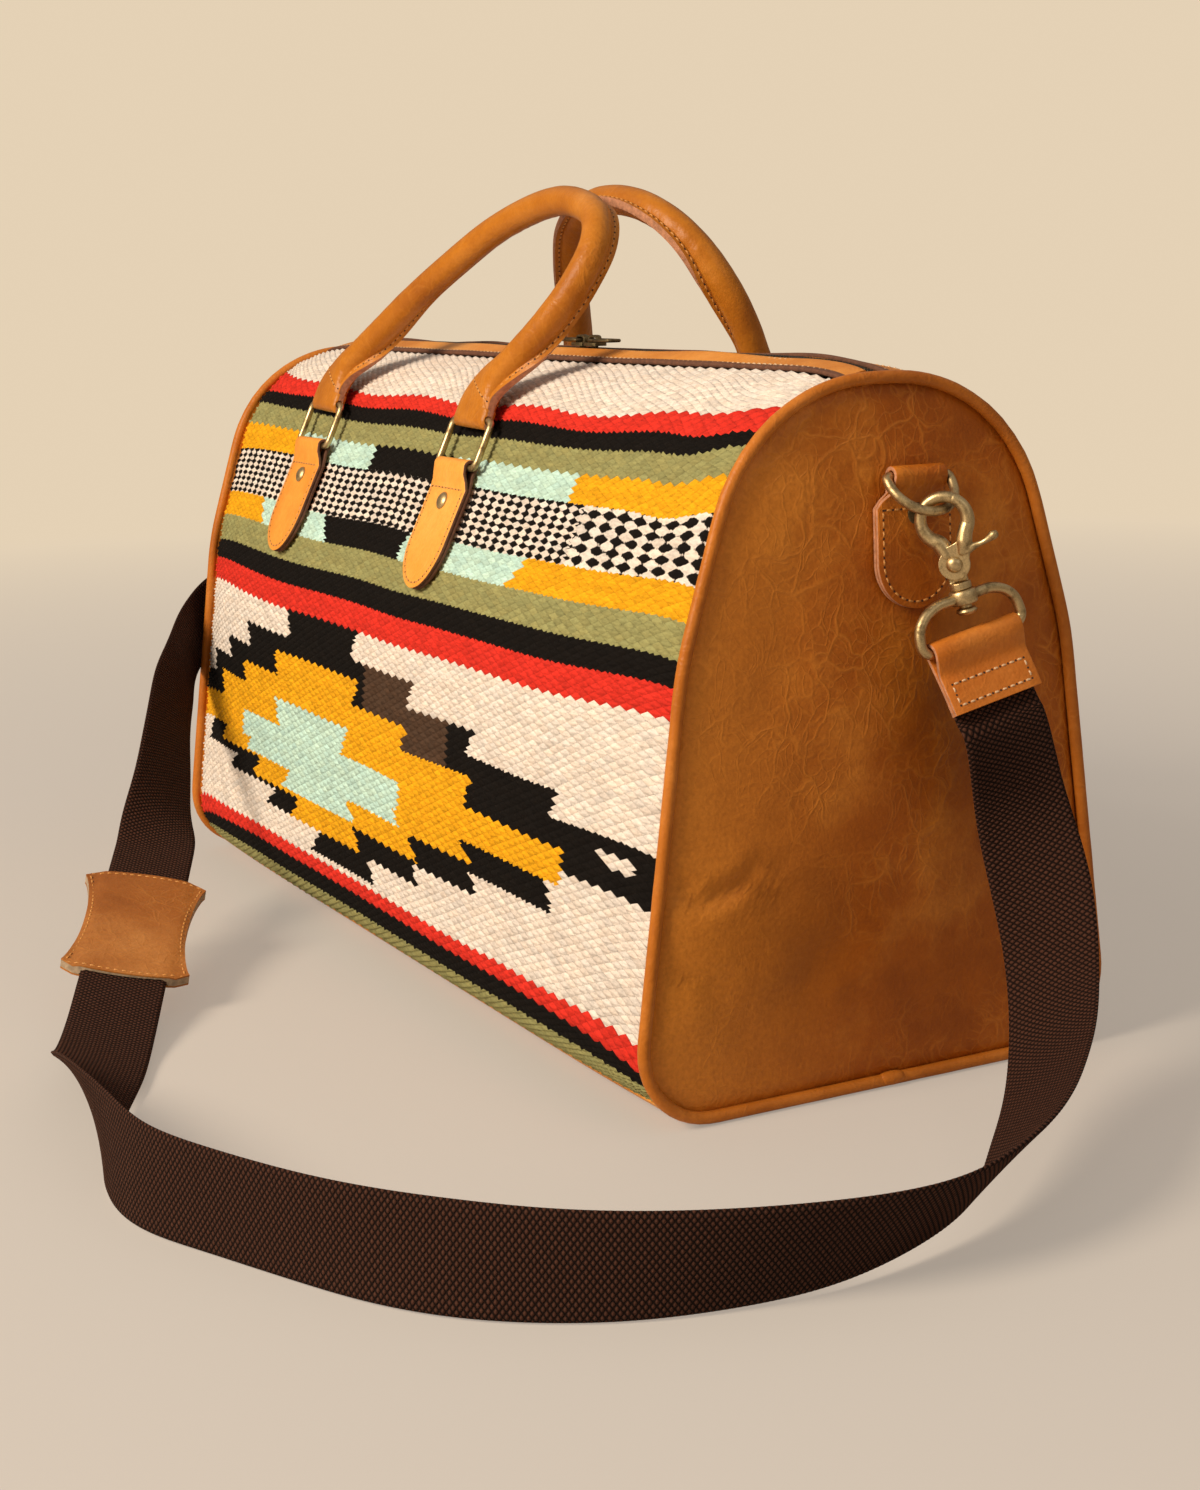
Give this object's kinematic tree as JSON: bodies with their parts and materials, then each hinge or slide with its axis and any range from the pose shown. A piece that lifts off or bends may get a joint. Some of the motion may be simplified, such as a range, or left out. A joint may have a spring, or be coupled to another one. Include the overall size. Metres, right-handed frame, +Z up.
{
  "type": "carpet duffel bag",
  "caption": "Soft duffel bag of woven kilim stripes with a stepped diamond, leather ends, base and piping, a long top zip, rolled handles on rings and a clip-on shoulder strap with a pad.",
  "frame": {"origin": "middle of the base, on the floor the bag stands on", "axes": "+X along the bag towards the end nearer the viewer, +Z up, the front kilim wall faces -Y"},
  "size_m": [0.7385, 0.4179, 0.3601],
  "materials": {
    "kilim_wool": "flat woven wool in cream, red, black, olive, amber and turquoise",
    "tan_leather": "waxed pull-up leather",
    "antique_brass": "aged brass plating",
    "lining_cloth": "plain dark cotton",
    "board": "stiffener board",
    "zip_tape": "dark tape with a row of metal teeth",
    "webbing": "coarse dark brown webbing"
  },
  "bodies": {
    "bag": {"base_panel": "tan_leather", "end_panel_near": "tan_leather", "end_panel_far": "tan_leather", "piping_near": "tan_leather", "piping_far": "tan_leather", "zip_band_front": "tan_leather", "zip_band_back": "tan_leather", "handle_chape_front_near": "tan_leather", "handle_chape_front_far": "tan_leather", "handle_chape_back_near": "tan_leather", "handle_chape_back_far": "tan_leather", "end_chape_near": "tan_leather", "end_chape_far": "tan_leather", "chape_rivet_front_near": "antique_brass", "chape_rivet_front_far": "antique_brass", "chape_rivet_back_near": "antique_brass", "chape_rivet_back_far": "antique_brass", "end_rivet_near": "antique_brass", "end_rivet_far": "antique_brass", "carpet_front": "kilim_wool", "carpet_back": "kilim_wool", "base_board": "board", "lining_body": "lining_cloth", "lining_end_near": "lining_cloth", "lining_end_far": "lining_cloth", "zip_tape_front": "zip_tape", "zip_tape_back": "zip_tape", "strap_webbing": "webbing"},
    "zip_slider_near": {"zip_slider_near": "antique_brass"},
    "zip_pull_near": {"zip_pull_near": "antique_brass"},
    "zip_slider_far": {"zip_slider_far": "antique_brass"},
    "zip_pull_far": {"zip_pull_far": "antique_brass"},
    "ring_front_near": {"handle_ring_front_near": "antique_brass"},
    "ring_front_far": {"handle_ring_front_far": "antique_brass"},
    "handle_front": {"handle_front": "tan_leather"},
    "ring_back_near": {"handle_ring_back_near": "antique_brass"},
    "ring_back_far": {"handle_ring_back_far": "antique_brass"},
    "handle_back": {"handle_back": "tan_leather"},
    "strap_end_near": {"d_ring_near": "antique_brass", "strap_bail_near": "antique_brass", "strap_tab_near": "tan_leather"},
    "hook_near": {"hook_body_near": "antique_brass", "hook_pin_near": "antique_brass"},
    "hook_gate_near": {"hook_gate_near": "antique_brass"},
    "strap_end_far": {"d_ring_far": "antique_brass", "strap_bail_far": "antique_brass", "strap_tab_far": "tan_leather"},
    "hook_far": {"hook_body_far": "antique_brass", "hook_pin_far": "antique_brass"},
    "hook_gate_far": {"hook_gate_far": "antique_brass"},
    "shoulder_pad": {"shoulder_pad": "tan_leather"}
  },
  "joints": [
    {"name": "zip_slide_near", "type": "slide", "parent": "bag", "child": "zip_slider_near", "axis": [1, 0, 0], "range_m": [0, 0.175]},
    {"name": "zip_pull_hinge_near", "type": "hinge", "parent": "zip_slider_near", "child": "zip_pull_near", "pos_m": [0.0341, 0, 0.2901], "axis": [0, -1, 0], "range_deg": [0, 100]},
    {"name": "zip_slide_far", "type": "slide", "parent": "bag", "child": "zip_slider_far", "axis": [-1, 0, 0], "range_m": [0, 0.231]},
    {"name": "zip_pull_hinge_far", "type": "hinge", "parent": "zip_slider_far", "child": "zip_pull_far", "pos_m": [0.0219, 0, 0.2901], "axis": [0, 1, 0], "range_deg": [0, 100]},
    {"name": "ring_hinge_front_near", "type": "hinge", "parent": "bag", "child": "ring_front_near", "pos_m": [0.037, -0.07366, 0.23676], "axis": [1, 0, 0], "range_deg": [0, 110]},
    {"name": "ring_hinge_front_far", "type": "hinge", "parent": "bag", "child": "ring_front_far", "pos_m": [-0.142, -0.07366, 0.23676], "axis": [1, 0, 0], "range_deg": [0, 110]},
    {"name": "handle_hinge_front", "type": "hinge", "parent": "ring_front_near", "child": "handle_front", "pos_m": [0.037, -0.06416, 0.25715], "axis": [1, 0, 0], "range_deg": [0, 55]},
    {"name": "ring_hinge_back_near", "type": "hinge", "parent": "bag", "child": "ring_back_near", "pos_m": [0.0855, 0.07366, 0.23676], "axis": [-1, 0, 0], "range_deg": [0, 110]},
    {"name": "ring_hinge_back_far", "type": "hinge", "parent": "bag", "child": "ring_back_far", "pos_m": [-0.0935, 0.07366, 0.23676], "axis": [-1, 0, 0], "range_deg": [0, 110]},
    {"name": "handle_hinge_back", "type": "hinge", "parent": "ring_back_near", "child": "handle_back", "pos_m": [0.0855, 0.06416, 0.25715], "axis": [-1, 0, 0], "range_deg": [0, 55]},
    {"name": "d_ring_hinge_near", "type": "hinge", "parent": "bag", "child": "strap_end_near", "pos_m": [0.27212, 0.01104, 0.24324], "axis": [0, -1, 0], "range_deg": [0, 30], "deforming": ["strap_webbing"]},
    {"name": "hook_swivel_near", "type": "hinge", "parent": "strap_end_near", "child": "hook_near", "pos_m": [0.28437, 0.01482, 0.22689], "axis": [0.1361, 0.2079, -0.9686], "range_deg": [0, 80]},
    {"name": "gate_hinge_near", "type": "hinge", "parent": "hook_near", "child": "hook_gate_near", "pos_m": [0.28668, 0.01835, 0.21043], "axis": [-0.7589, 0.6504, 0.0329], "range_deg": [0, 25], "stiffness_Nm_per_rad": 0.02, "springref_deg": -17.19},
    {"name": "d_ring_hinge_far", "type": "hinge", "parent": "bag", "child": "strap_end_far", "pos_m": [-0.27212, 0.01104, 0.24324], "axis": [0, 1, 0], "range_deg": [0, 30], "deforming": ["strap_webbing"]},
    {"name": "hook_swivel_far", "type": "hinge", "parent": "strap_end_far", "child": "hook_far", "pos_m": [-0.28423, 0.00334, 0.22852], "axis": [-0.1261, -0.4226, -0.8975], "range_deg": [0, 72]},
    {"name": "gate_hinge_far", "type": "hinge", "parent": "hook_far", "child": "hook_gate_far", "pos_m": [-0.28638, -0.00384, 0.21326], "axis": [0.7599, -0.6227, 0.1864], "range_deg": [0, 25], "stiffness_Nm_per_rad": 0.02, "springref_deg": -17.19},
    {"name": "pad_slide", "type": "slide", "parent": "bag", "child": "shoulder_pad", "axis": [-0.886, 0.4043, 0.227], "range_m": [-0.01, 0.03]}
  ],
  "couplings": [
    {"joint": "ring_hinge_front_far", "follows": "ring_hinge_front_near", "ratio": 1},
    {"joint": "ring_hinge_back_far", "follows": "ring_hinge_back_near", "ratio": 1}
  ]
}
